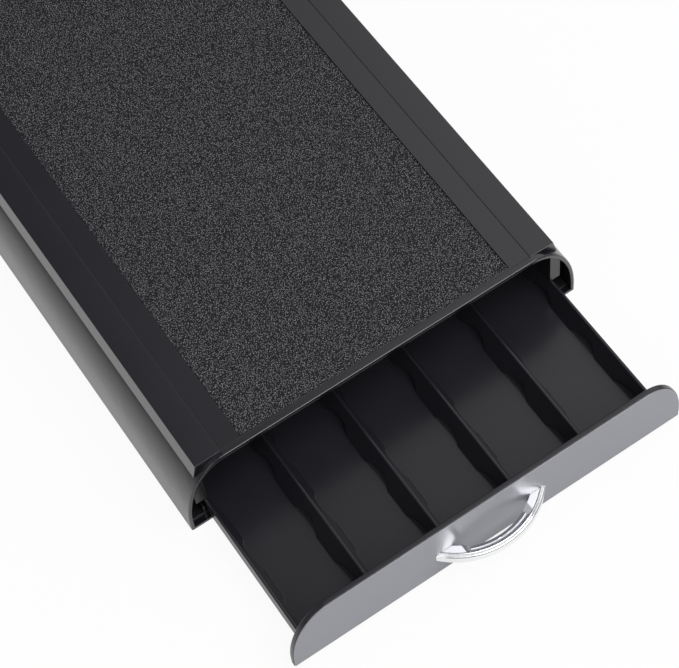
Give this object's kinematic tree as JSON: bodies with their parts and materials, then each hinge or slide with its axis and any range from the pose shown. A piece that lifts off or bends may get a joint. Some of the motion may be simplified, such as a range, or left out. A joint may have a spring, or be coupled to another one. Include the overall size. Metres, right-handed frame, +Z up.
{
  "type": "coffee pod drawer",
  "caption": "Low arched counter drawer for coffee capsules: a flat non-slip platform over a sliding tray of lanes with a chrome crescent pull.",
  "frame": {"origin": "on the surface it stands on, at the centre of the box round the part with the drawer open as stored", "axes": "+X to the right seen from the front, +Y from the front to the back, +Z up; the drawer opens towards -Y"},
  "size_m": [0.2426, 0.499, 0.0564],
  "materials": {
    "housing_plastic": "satin black moulding",
    "mat_texture": "grained matte black",
    "rail_plastic": "satin black moulding",
    "inner_plastic": "plain black moulding",
    "tray_plastic": "glossy black moulding",
    "face_satin": "satin grey",
    "handle_chrome": "polished",
    "screw_steel": "zinc plated",
    "rubber": "matte black"
  },
  "bodies": {
    "housing": {"housing_shell": "housing_plastic", "top_mat": "mat_texture", "rear_panel": "housing_plastic", "rear_screws": "screw_steel", "runner_screws": "screw_steel", "closing_bumpers": "rubber", "shoulder_rail_left": "rail_plastic", "shoulder_rail_right": "rail_plastic", "hold_down_left": "inner_plastic", "hold_down_right": "inner_plastic", "runner_left": "inner_plastic", "runner_right": "inner_plastic", "drawer_stop_left": "inner_plastic", "drawer_stop_right": "inner_plastic", "foot_front_left": "rubber", "foot_front_right": "rubber", "foot_rear_left": "rubber", "foot_rear_right": "rubber"},
    "drawer": {"pod_tray": "tray_plastic", "front_panel": "tray_plastic", "front_face": "face_satin", "handle": "handle_chrome", "handle_screws": "screw_steel", "panel_screws": "screw_steel", "tray_catch_left": "inner_plastic", "tray_catch_right": "inner_plastic"}
  },
  "joints": [
    {"name": "drawer_slide", "type": "slide", "parent": "housing", "child": "drawer", "axis": [0, -1, 0], "range_m": [-0.0929, 0.1921]}
  ]
}
